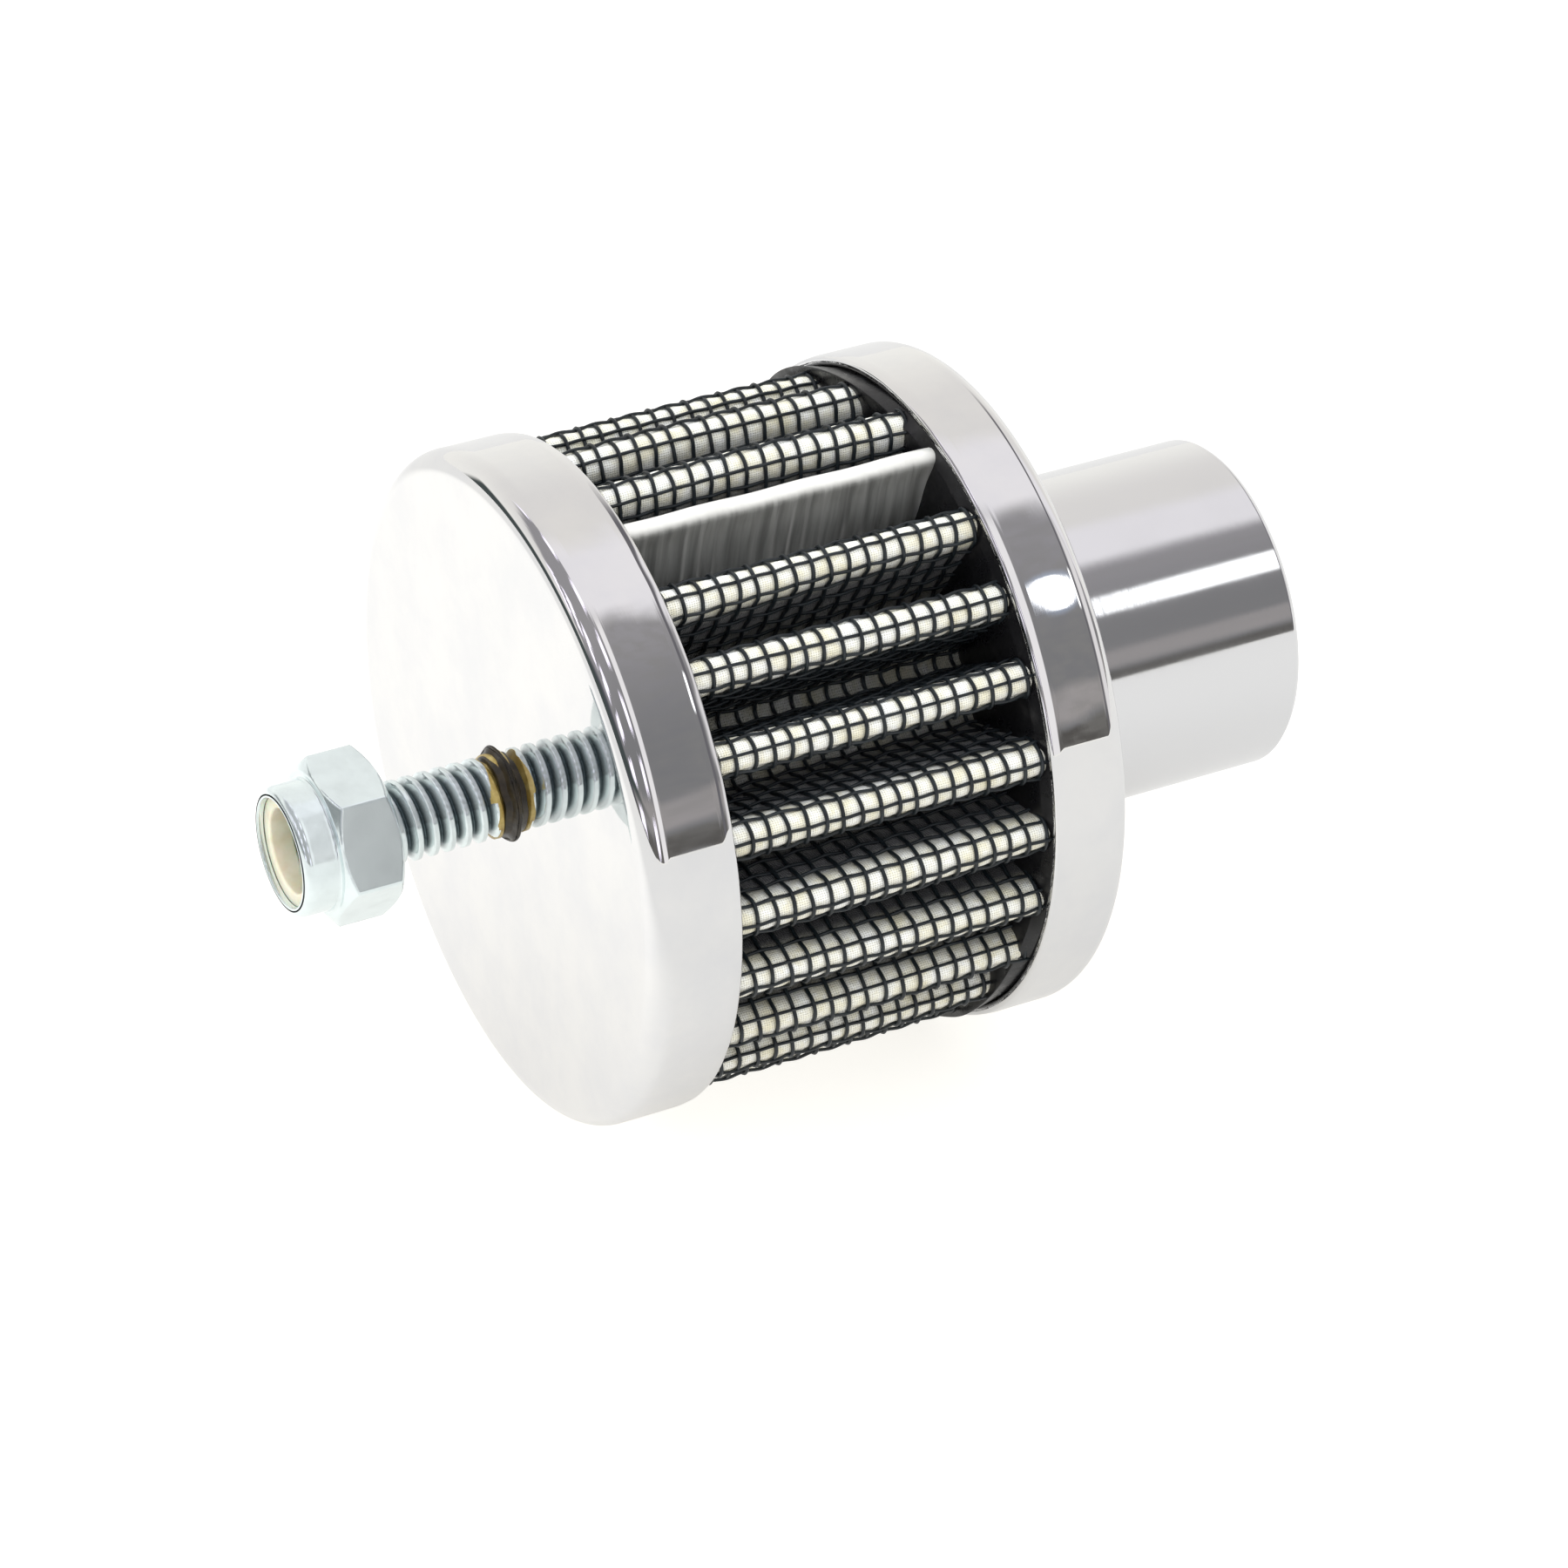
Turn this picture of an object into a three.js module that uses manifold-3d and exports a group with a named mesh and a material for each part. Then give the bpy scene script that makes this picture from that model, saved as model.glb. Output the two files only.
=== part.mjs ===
// Crankcase breather filter: a pleated gauze element potted between two chromed end caps,
// with a hose neck at one end and a threaded stud with a nylon-insert lock nut at the other.
// The filter lies on its side on the rims of its caps: +X runs along its axis from the stud
// to the neck, +Z is up, and the origin is under the middle of its length.
import * as THREE from "three";
import { mergeVertices } from "three/addons/utils/BufferGeometryUtils.js";
import Module from "manifold-3d";

// ---- Driving dimensions, in millimetres and degrees ----
const CAP_RADIUS = 25.4;
const CAP_SHEET = 0.8;
const CAP_SIDES = 48;
const FRONT_CAP_DEPTH = 7.0;
const FRONT_CORNER = 1.8;
const BODY_LENGTH = 38.2; // from the front cap's flat face to the rear cap's
const REAR_CAP_DEPTH = 6.2;
const REAR_CORNER = 1.4;
const FRONT_HOLE_RADIUS = 3.9; // clears the sealant round the stud

const NECK_RADIUS = 12.7;
const NECK_WALL = 1.6;
const NECK_LENGTH = 22.0; // that stands out of the rear cap
const NECK_CHAMFER = 0.3;
const NECK_FLANGE_RADIUS = 15.6;
const NECK_FLANGE_THICKNESS = 1.2;
const NECK_SIDES = 36;

const STUD_RADIUS = 2.9; // mean of the crests and flanks of a 1/4-20 thread
const STUD_LENGTH = 15.2; // that stands out of the front cap
const STUD_POINT = 0.6;
const HEX_ACROSS_FLATS = 11.1; // 7/16 in, for the bolt head and the lock nut
const HEAD_HEIGHT = 4.0;
const WASHER_RADIUS = 8.0;
const WASHER_THICKNESS = 1.5;
const ROUND_SIDES = 24; // of the small round pieces
const BEAD_RADIUS = 3.6;
const BEAD_HEIGHT = 0.9; // that stands out of the front cap
const BEAD_ROUND = 0.15;

const NUT_STAND_OFF = 9.9; // from the cap's face to the nut's near face
const NUT_HEX_HEIGHT = 4.7;
const NUT_HEIGHT = 7.4;
const NUT_COLLAR_RADIUS = 4.9;
const NUT_MOUTH_RADIUS = 4.1;
const NUT_LIP = 0.5;
const NUT_ROLL_LENGTH = 1.1; // the stretch of the collar that is rolled in over the insert
const NUT_ROLL_DEPTH = 0.45;
const NUT_BORE_RADIUS = 3.15;
const NUT_CHAMFER = 0.7;
const NUT_TURN = 8; // degrees that the hexagon is turned about the axis
const INSERT_RADIUS = 4.25;
const INSERT_LENGTH = 1.9;

const PLEAT_COUNT = 24;
const PLEAT_PITCH = 14.5;
const FIRST_CREST = 120.7; // the crest next to the seam, counted from +Y towards +Z
const PLEAT_CREST_RADIUS = 24.25;
const PLEAT_HALF_WIDTH = 1.5;
const VALLEY_HALF_WIDTH = 0.595;
const SCREEN_THICKNESS = 0.26;
const PLY_THICKNESS = 0.14;
const PLY_COUNT = 4;
const LAYER_GAP = 0.05;
const CREST_STEPS = 3;
const ROOT_STEPS = 2;
const SEAM_HALF_WIDTH = 0.3; // half the width that the sheet's two ends take up under the clip

const CLIP_ANGLE = 104.8;
const CLIP_WIDTH = 1.7;
const CLIP_WALL = 0.4;
const CLIP_TOP_RADIUS = 24.15;
const CLIP_FOOT_RADIUS = 16.4;

const FRONT_POTTING_END = 6.6;
const REAR_POTTING_START = 30.4;
const POTTING_LIP_RADIUS = 24.6;
const POTTING_INNER_RADIUS = 14.0;
const POTTING_EDGE = 1.0; // clears the round corner inside a cap
const LIP_EDGE = 0.4;

const FIT_GAP = 0.3; // between pieces that are bonded or pressed together
const SEAT_GAP = 0.05; // between flat faces that rest on each other
const SPARE = 0.5; // by which two solids overlap where they are joined, or a cut runs out

// ---- Places worked out from them ----
const REAR_CAP_START = BODY_LENGTH - REAR_CAP_DEPTH;
const NECK_END = BODY_LENGTH + NECK_LENGTH;
const PLEAT_START = FRONT_POTTING_END + FIT_GAP;
const PLEAT_END = REAR_POTTING_START - FIT_GAP;
const NUT_NEAR = -NUT_STAND_OFF;
const NUT_FAR = NUT_NEAR - NUT_HEIGHT;
const AXIS_HEIGHT = CAP_RADIUS * Math.cos(Math.PI / CAP_SIDES);
const MIDDLE_X = (NUT_FAR + NECK_END) / 2;
const hexCorner = HEX_ACROSS_FLATS / 2 / Math.cos(Math.PI / 6);

const wasm = await Module();
wasm.setup();

// ---- Helpers ----

function radians(degrees) {
  return (degrees * Math.PI) / 180;
}

// Points on an arc about (x, r), as [x, r] pairs.
function arc(x, r, radius, from, to, steps) {
  return Array.from({ length: steps + 1 }, (_, i) => {
    const a = radians(from + ((to - from) * i) / steps);
    return [x + radius * Math.cos(a), r + radius * Math.sin(a)];
  });
}

// A solid of revolution about the X axis from a closed outline of [x, r] points. A flat of
// its many-sided section faces straight down, so that the filter can rest on it.
function revolve(outline, sides) {
  const points = outline.map(([x, r]) => new THREE.Vector2(r, x));
  if (THREE.ShapeUtils.area(points) < 0) points.reverse();
  const onAxis = points.findIndex((p, i) => {
    const next = points[(i + 1) % points.length];
    return p.x < 1e-9 && next.x < 1e-9;
  });
  if (onAxis >= 0) points.push(...points.splice(0, onAxis + 1));
  else points.push(points[0].clone());
  const half = Math.PI / sides;
  return new THREE.LatheGeometry(points, sides, half, 2 * Math.PI).rotateZ(-Math.PI / 2);
}

// A prism along X from a shape drawn in the YZ plane.
function prism(points, start, end) {
  const outline = points.map(([y, z]) => new THREE.Vector2(y, z));
  const geometry = new THREE.ExtrudeGeometry(new THREE.Shape(outline), {
    depth: end - start,
    bevelEnabled: false,
  });
  const toRow = new THREE.Matrix4().set(0, 0, 1, start, 1, 0, 0, 0, 0, 1, 0, 0, 0, 0, 0, 1);
  return geometry.applyMatrix4(toRow);
}

function hexagon(acrossFlats, turn) {
  const corner = acrossFlats / 2 / Math.cos(Math.PI / 6);
  return Array.from({ length: 6 }, (_, i) => {
    const a = radians(turn + 60 * i);
    return [corner * Math.cos(a), corner * Math.sin(a)];
  });
}

function toSolid(geometry) {
  const bare = geometry.index ? geometry.toNonIndexed() : geometry.clone();
  bare.deleteAttribute("normal");
  bare.deleteAttribute("uv");
  const merged = mergeVertices(bare, 1e-4);
  const mesh = new wasm.Mesh({
    numProp: 3,
    vertProperties: new Float32Array(merged.attributes.position.array),
    triVerts: new Uint32Array(merged.index.array),
  });
  return new wasm.Manifold(mesh);
}

function toGeometry(solid) {
  const mesh = solid.getMesh();
  const geometry = new THREE.BufferGeometry();
  geometry.setAttribute("position", new THREE.BufferAttribute(mesh.vertProperties, 3));
  geometry.setIndex(new THREE.BufferAttribute(mesh.triVerts, 1));
  geometry.computeVertexNormals();
  return geometry;
}

const finishes = {
  chrome: { color: 0xdfe1e4, metalness: 1, roughness: 0.06 },
  aluminium: { color: 0xd9dadd, metalness: 1, roughness: 0.16 },
  zinc: { color: 0xb4bdc4, metalness: 1, roughness: 0.34 },
  clip: { color: 0xb9bab8, metalness: 1, roughness: 0.38 },
  nylon: { color: 0xe6dcae, metalness: 0, roughness: 0.45 },
  screen: { color: 0x23282e, metalness: 0.2, roughness: 0.45 },
  gauze: { color: 0xe9e4d6, metalness: 0, roughness: 0.95 },
  potting: { color: 0x0e0e10, metalness: 0, roughness: 0.5 },
  sealant: { color: 0x4a3517, metalness: 0, roughness: 0.35 },
};

const filter = new THREE.Group();
filter.position.set(-MIDDLE_X, 0, AXIS_HEIGHT);

function add(name, geometry, finish) {
  const mesh = new THREE.Mesh(geometry, new THREE.MeshStandardMaterial(finishes[finish]));
  mesh.name = name;
  filter.add(mesh);
}

// ---- End caps and neck ----

// A drawn cup, open towards +X from its flat face at x = 0, with a round hole in its middle.
function capOutline(depth, corner, hole) {
  const inner = CAP_RADIUS - CAP_SHEET;
  const edge = CAP_RADIUS - corner;
  return [
    [CAP_SHEET, hole],
    [0, hole],
    ...arc(corner, edge, corner, 180, 90, 3),
    [depth, CAP_RADIUS],
    [depth, inner],
    ...arc(corner, edge, corner - CAP_SHEET, 90, 180, 1),
  ];
}

function frontCap() {
  return revolve(capOutline(FRONT_CAP_DEPTH, FRONT_CORNER, FRONT_HOLE_RADIUS), CAP_SIDES);
}

function rearCap() {
  const outline = capOutline(REAR_CAP_DEPTH, REAR_CORNER, NECK_RADIUS + FIT_GAP);
  return revolve(
    outline.map(([x, r]) => [BODY_LENGTH - x, r]),
    CAP_SIDES,
  );
}

// A thin tube with a turned flange that the rear cap's web traps from outside.
function neckTube() {
  const flangeEnd = BODY_LENGTH - CAP_SHEET - SEAT_GAP;
  const flangeStart = flangeEnd - NECK_FLANGE_THICKNESS;
  const bore = NECK_RADIUS - NECK_WALL;
  const outline = [
    [flangeStart, bore],
    [flangeStart, NECK_FLANGE_RADIUS],
    [flangeEnd, NECK_FLANGE_RADIUS],
    [flangeEnd, NECK_RADIUS],
    [NECK_END - NECK_CHAMFER, NECK_RADIUS],
    [NECK_END, NECK_RADIUS - NECK_CHAMFER],
    [NECK_END, bore],
  ];
  return revolve(outline, NECK_SIDES);
}

// ---- Stud and lock nut ----

const washerStart = CAP_SHEET + SEAT_GAP;
const headStart = washerStart + WASHER_THICKNESS + SEAT_GAP;
const headEnd = headStart + HEAD_HEIGHT;

// A hexagon-head bolt whose head lies in the front potting.
function studBolt() {
  const tip = -STUD_LENGTH;
  const outline = [
    [headStart + SPARE, 0],
    [headStart + SPARE, STUD_RADIUS],
    [tip + STUD_POINT, STUD_RADIUS],
    [tip, STUD_RADIUS - STUD_POINT],
    [tip, 0],
  ];
  const head = toSolid(prism(hexagon(HEX_ACROSS_FLATS, 0), headStart, headEnd));
  return toGeometry(toSolid(revolve(outline, ROUND_SIDES)).add(head));
}

function studWasher() {
  const washerEnd = washerStart + WASHER_THICKNESS;
  const hole = STUD_RADIUS + FIT_GAP;
  const outline = [
    [washerStart, hole],
    [washerStart, WASHER_RADIUS],
    [washerEnd, WASHER_RADIUS],
    [washerEnd, hole],
  ];
  return revolve(outline, ROUND_SIDES);
}

// A ring of cured sealant that fills the front cap's hole round the stud and stands out of it.
function sealantBead() {
  const hole = STUD_RADIUS + SEAT_GAP;
  const outline = [
    [CAP_SHEET, hole],
    [CAP_SHEET, BEAD_RADIUS],
    [0, BEAD_RADIUS],
    [-BEAD_HEIGHT / 2, BEAD_RADIUS - BEAD_ROUND],
    [-BEAD_HEIGHT, hole + BEAD_ROUND],
    [-BEAD_HEIGHT, hole],
  ];
  return revolve(outline, ROUND_SIDES);
}

// The hexagon with both ends chamfered, a round collar outside it that is rolled in over the
// insert, the threaded bore and the insert's seat.
function lockNut() {
  const hexFar = NUT_NEAR - NUT_HEX_HEIGHT;
  const bevel = NUT_CHAMFER / 2;
  const barrel = [
    [NUT_NEAR, 0],
    [NUT_NEAR, hexCorner - NUT_CHAMFER],
    [NUT_NEAR - bevel, hexCorner],
    [hexFar + bevel, hexCorner],
    [hexFar, hexCorner - NUT_CHAMFER],
    [hexFar, 0],
  ];
  const collar = [
    [hexFar + SPARE, 0],
    [hexFar + SPARE, NUT_COLLAR_RADIUS],
    [NUT_FAR + NUT_ROLL_LENGTH, NUT_COLLAR_RADIUS],
    [NUT_FAR, NUT_COLLAR_RADIUS - NUT_ROLL_DEPTH],
    [NUT_FAR, 0],
  ];
  const seatEnd = NUT_FAR + NUT_LIP;
  const hollow = [
    [NUT_NEAR + SPARE, 0],
    [NUT_NEAR + SPARE, NUT_BORE_RADIUS],
    [seatEnd + INSERT_LENGTH, NUT_BORE_RADIUS],
    [seatEnd + INSERT_LENGTH, INSERT_RADIUS + SEAT_GAP],
    [seatEnd, INSERT_RADIUS + SEAT_GAP],
    [seatEnd, NUT_MOUTH_RADIUS],
    [NUT_FAR - SPARE, NUT_MOUTH_RADIUS],
    [NUT_FAR - SPARE, 0],
  ];
  return toGeometry(
    toSolid(prism(hexagon(HEX_ACROSS_FLATS, NUT_TURN), hexFar - SPARE, NUT_NEAR + SPARE))
      .intersect(toSolid(revolve(barrel, ROUND_SIDES)))
      .add(toSolid(revolve(collar, ROUND_SIDES)))
      .subtract(toSolid(revolve(hollow, ROUND_SIDES))),
  );
}

function lockNutInsert() {
  const start = NUT_FAR + NUT_LIP + SEAT_GAP;
  const end = NUT_FAR + NUT_LIP + INSERT_LENGTH - SEAT_GAP;
  const outline = [
    [start, NUT_BORE_RADIUS],
    [start, INSERT_RADIUS],
    [end, INSERT_RADIUS],
    [end, NUT_BORE_RADIUS],
  ];
  return revolve(outline, ROUND_SIDES);
}

// ---- Pleated element ----

const halfPitch = PLEAT_PITCH / 2;
const crestCentre = PLEAT_CREST_RADIUS - PLEAT_HALF_WIDTH * Math.cos(radians(90 / CREST_STEPS));
const rootCentre = (PLEAT_HALF_WIDTH + VALLEY_HALF_WIDTH) / Math.sin(radians(halfPitch));

function polar(radius, degrees) {
  return [radius * Math.cos(radians(degrees)), radius * Math.sin(radians(degrees))];
}

// A point of the seam's plane at a radius, moved sideways off it.
function seamPoint(radius, sideways) {
  const [y, z] = polar(radius, CLIP_ANGLE);
  const [dy, dz] = polar(sideways, CLIP_ANGLE + 90);
  return [y + dy, z + dz];
}

// One surface of the pleats, at a depth below their outermost one. All of them share their
// arc centres, so the layers stay parallel round the crests, flanks and roots.
function pleatCurve(depth) {
  const crest = PLEAT_HALF_WIDTH - depth;
  const root = VALLEY_HALF_WIDTH + depth;
  const curve = [];
  const sweep = (centre, radius, from, to, steps) => {
    for (let i = 0; i <= steps; i++) {
      const [y, z] = polar(radius, from + ((to - from) * i) / steps);
      curve.push([centre[0] + y, centre[1] + z]);
    }
  };
  const firstRoot = FIRST_CREST - halfPitch;
  sweep(polar(rootCentre, firstRoot), -root, firstRoot, firstRoot - 90 + halfPitch, 1);
  for (let i = 0; i < PLEAT_COUNT; i++) {
    const angle = FIRST_CREST + PLEAT_PITCH * i;
    sweep(polar(crestCentre, angle), crest, angle - 90, angle + 90, CREST_STEPS);
    const next = angle + halfPitch;
    const last = i === PLEAT_COUNT - 1;
    const steps = last ? ROOT_STEPS / 2 : ROOT_STEPS;
    sweep(polar(rootCentre, next), -root, angle + 90, last ? next : next - 90 + halfPitch, steps);
  }
  return curve;
}

// The sheet's two ends run on from their last roots until they meet under the seam clip.
function withEnds(curve, depth) {
  const floor = rootCentre - VALLEY_HALF_WIDTH - depth;
  const ends = [1, -1].map((side) => seamPoint(floor, side * SEAM_HALF_WIDTH));
  return [ends[0], ...curve, ends[1]];
}

function pleatLayer(depth, thickness) {
  const outer = withEnds(pleatCurve(depth), depth);
  const inner = withEnds(pleatCurve(depth + thickness), depth + thickness);
  return prism([...outer, ...inner.reverse()], PLEAT_START, PLEAT_END);
}

// A channel folded over the seam of the pleated sheet: two legs and a round back.
function seamClip() {
  const half = CLIP_WIDTH / 2;
  const wallHalf = half - CLIP_WALL;
  const back = CLIP_TOP_RADIUS - half;
  const local = [
    [CLIP_FOOT_RADIUS, -half],
    ...arc(back, 0, half, -90, 90, 6),
    [CLIP_FOOT_RADIUS, half],
    [CLIP_FOOT_RADIUS, wallHalf],
    ...arc(back, 0, wallHalf, 90, -90, 4),
    [CLIP_FOOT_RADIUS, -wallHalf],
  ];
  const section = local.map(([radius, sideways]) => seamPoint(radius, sideways));
  return prism(section, PLEAT_START, PLEAT_END);
}

// ---- Potting that bonds the pleats into the caps ----

const pottingRadius = CAP_RADIUS - CAP_SHEET - FIT_GAP;

// It fills the front cap's floor and locks the bolt's head and washer.
function frontPotting() {
  const start = CAP_SHEET + FIT_GAP;
  const step = washerStart + WASHER_THICKNESS + FIT_GAP;
  const headRadius = hexCorner + FIT_GAP;
  const outline = [
    [start, WASHER_RADIUS + FIT_GAP],
    [start, pottingRadius - POTTING_EDGE],
    [start + POTTING_EDGE, pottingRadius],
    [FRONT_POTTING_END, pottingRadius],
    [FRONT_POTTING_END, headRadius],
    [step, headRadius],
    [step, WASHER_RADIUS + FIT_GAP],
  ];
  return revolve(outline, CAP_SIDES);
}

// It fills the rear cap round the neck's flange and stands out of the cap in a soft lip.
function rearPotting() {
  const flangeStart = BODY_LENGTH - CAP_SHEET - SEAT_GAP - NECK_FLANGE_THICKNESS;
  const end = BODY_LENGTH - CAP_SHEET - FIT_GAP;
  const lipEnd = REAR_CAP_START - FIT_GAP;
  const outline = [
    [REAR_POTTING_START, POTTING_INNER_RADIUS],
    [REAR_POTTING_START, POTTING_LIP_RADIUS - LIP_EDGE],
    [REAR_POTTING_START + LIP_EDGE, POTTING_LIP_RADIUS],
    [lipEnd, POTTING_LIP_RADIUS],
    [lipEnd, pottingRadius],
    [end - POTTING_EDGE, pottingRadius],
    [end, pottingRadius - POTTING_EDGE],
    [end, NECK_FLANGE_RADIUS + FIT_GAP],
    [flangeStart - FIT_GAP, NECK_FLANGE_RADIUS + FIT_GAP],
    [flangeStart - FIT_GAP, POTTING_INNER_RADIUS],
  ];
  return revolve(outline, CAP_SIDES);
}

// ---- The assembly ----

add("front_cap", frontCap(), "chrome");
add("rear_cap", rearCap(), "chrome");
add("neck_tube", neckTube(), "aluminium");
add("stud_bolt", studBolt(), "zinc");
add("stud_washer", studWasher(), "zinc");
add("sealant_bead", sealantBead(), "sealant");
add("lock_nut", lockNut(), "zinc");
add("lock_nut_insert", lockNutInsert(), "nylon");

let depth = 0;
add("outer_screen", pleatLayer(depth, SCREEN_THICKNESS), "screen");
depth += SCREEN_THICKNESS + LAYER_GAP;
for (let ply = 1; ply <= PLY_COUNT; ply++) {
  add("gauze_ply_" + ply, pleatLayer(depth, PLY_THICKNESS), "gauze");
  depth += PLY_THICKNESS + LAYER_GAP;
}
add("inner_screen", pleatLayer(depth, SCREEN_THICKNESS), "screen");

add("seam_clip", seamClip(), "clip");
add("front_potting", frontPotting(), "potting");
add("rear_potting", rearPotting(), "potting");

const breather = new THREE.Group();
breather.add(filter);

export default breather;
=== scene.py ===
# Looks of the crankcase breather filter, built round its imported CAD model.
# Lengths are written in millimetres and turned into metres where a mesh is made. Along the
# filter, x counts from the front cap's flat face towards the neck; round it, angles count
# from +Y towards +Z.
import math

import bmesh
import bpy
import numpy as np
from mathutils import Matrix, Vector


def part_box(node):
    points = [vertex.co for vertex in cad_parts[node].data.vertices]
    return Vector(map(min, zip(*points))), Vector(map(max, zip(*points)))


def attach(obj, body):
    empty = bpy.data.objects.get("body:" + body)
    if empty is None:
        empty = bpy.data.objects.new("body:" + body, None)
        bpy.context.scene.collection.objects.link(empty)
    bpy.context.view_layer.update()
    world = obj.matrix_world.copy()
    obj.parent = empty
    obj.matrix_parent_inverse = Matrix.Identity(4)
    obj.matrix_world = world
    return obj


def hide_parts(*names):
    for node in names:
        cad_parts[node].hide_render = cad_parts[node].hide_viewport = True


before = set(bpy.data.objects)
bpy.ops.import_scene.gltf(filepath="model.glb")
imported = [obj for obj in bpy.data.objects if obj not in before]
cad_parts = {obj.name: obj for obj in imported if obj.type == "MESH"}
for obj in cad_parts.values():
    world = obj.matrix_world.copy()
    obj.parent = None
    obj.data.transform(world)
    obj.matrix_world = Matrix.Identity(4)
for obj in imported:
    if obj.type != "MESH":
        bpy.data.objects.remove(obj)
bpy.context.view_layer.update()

MM = 0.001
FACE_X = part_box("front_cap")[0].x / MM
AXIS_Z = (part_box("neck_tube")[0].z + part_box("neck_tube")[1].z) / 2 / MM


def reach(node, corner):
    """x of one end of a CAD node, in mm from the front cap's flat face."""
    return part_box(node)[corner].x / MM - FACE_X


# ---- Sizes, in millimetres and degrees ----
CAP_RADIUS = 25.4
CAP_SHEET = 0.8
ROLL_LENGTH = 0.75
ROLL_DROP = 0.12
ROLL_RADIUS = 3.0
FRONT_CAP_DEPTH = reach("front_cap", 1)
FRONT_CORNER = 1.8
FRONT_HOLE_RADIUS = 3.5
REAR_CAP_START = reach("rear_cap", 0)
BODY_LENGTH = reach("rear_cap", 1)
REAR_CORNER = 1.4

NECK_RADIUS = 12.7
NECK_WALL = 1.6
NECK_START = reach("neck_tube", 0)
NECK_END = reach("neck_tube", 1)
NECK_FLANGE_RADIUS = 15.6
NECK_FLANGE_THICKNESS = 1.2

STUD_TIP = reach("stud_bolt", 0)
STUD_END = reach("stud_bolt", 1)
THREAD_CREST = 3.06
THREAD_ROOT = 2.36
THREAD_PITCH = 1.27
CREST_SHARE = 0.3
FLANK_SHARE = 0.62
HEAD_HEIGHT = 4.0
STUD_SIDES = 72
HEX_ACROSS_FLATS = 11.1
HEX_CORNER_RADIUS = HEX_ACROSS_FLATS / 2 / math.cos(math.radians(30))
BEAD_RADIUS = 3.6
BEAD_HEIGHT = 0.9
RESIDUE_LENGTH = 1.8

NUT_NEAR = reach("lock_nut", 1)
NUT_FAR = reach("lock_nut", 0)
NUT_HEX_HEIGHT = 4.7
NUT_COLLAR_RADIUS = 4.9
NUT_MOUTH_RADIUS = 4.1
NUT_LIP = 0.5
NUT_BORE_RADIUS = 3.15
NUT_TURN = 8
NUT_CHAMFER = 1.04
NUT_CHAMFER_ANGLE = 32
BORE_CHAMFER = 0.6
INSERT_SEAT_LENGTH = 1.95
INSERT_RADIUS = 4.25

PLEAT_COUNT = 24
PLEAT_PITCH = 14.5
FIRST_CREST = 120.7
PLEAT_CREST_RADIUS = 24.3
PLEAT_HALF_WIDTH = 1.5
CREST_FLATTENING = math.cos(math.radians(30))
VALLEY_HALF_WIDTH = 0.595
SCREEN_THICKNESS = 0.26
PLY_THICKNESS = 0.14
PLY_COUNT = 4
LAYER_GAP = 0.05
GAUZE_BULGE = 0.12
GAUZE_THREAD_PITCH = 0.36 * MM
PLEAT_START = reach("outer_screen", 0) - 0.6
PLEAT_END = REAR_CAP_START + 0.6
WIRE_RADIUS = 0.15
AXIAL_WIRE_RADIUS = 0.86 * WIRE_RADIUS
WIRE_SWING = 0.075
HOOP_PITCH = 1.445
WIRES_PER_PLEAT = 13
WIRE_PIECES = 3

CLIP_ANGLE = 104.8
CLIP_WIDTH = 1.7
CLIP_WALL = 0.4
CLIP_TOP_RADIUS = 24.15
CLIP_FOOT_RADIUS = 16.4
CRIMP_PITCH = 1.45
CRIMP_DEPTH = 0.24

FRONT_POTTING_END = reach("front_potting", 1)
REAR_POTTING_START = reach("rear_potting", 0)
POTTING_RADIUS = 24.5
POTTING_INNER_RADIUS = 14.0

PLY_STEP = PLY_THICKNESS + LAYER_GAP
LAYER_DEPTH = [SCREEN_THICKNESS + LAYER_GAP + i * PLY_STEP for i in range(PLY_COUNT + 1)]


# ---- Mesh helpers ----

def make_object(name, mesh, material, body):
    mesh.materials.append(material)
    piece = bpy.data.objects.new(name, mesh)
    bpy.context.scene.collection.objects.link(piece)
    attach(piece, body)
    return piece


def mesh_from(name, points, faces):
    """A mesh from an (n, 3) array of points in mm along the filter, and faces of any size."""
    place = (np.asarray(points, float) + [FACE_X, 0, AXIS_Z]) * MM
    mesh = bpy.data.meshes.new(name)
    mesh.from_pydata(place.tolist(), [], faces)
    mesh.validate()
    mesh.shade_smooth()
    return mesh


def ring_faces(rows, count, first=0, loop=False):
    """Quads that join rows of count points each, every row being a closed ring."""
    i = np.arange(rows if loop else rows - 1)[:, None]
    j = np.arange(count)[None, :]
    below = (i + 1) % rows
    right = (j + 1) % count
    quads = np.stack([i * count + j, i * count + right, below * count + right, below * count + j], -1)
    return quads.reshape(-1, 4) + first


def skin(name, rows, loop=False):
    """A closed mesh through rings of points: capped at its ends, or closed on itself."""
    rows = np.asarray(rows, float)
    count = rows.shape[1]
    faces = ring_faces(len(rows), count, loop=loop).tolist()
    if not loop:
        faces.append(list(range(count))[::-1])
        faces.append(list(range((len(rows) - 1) * count, len(rows) * count)))
    return mesh_from(name, rows.reshape(-1, 3), faces)


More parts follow.
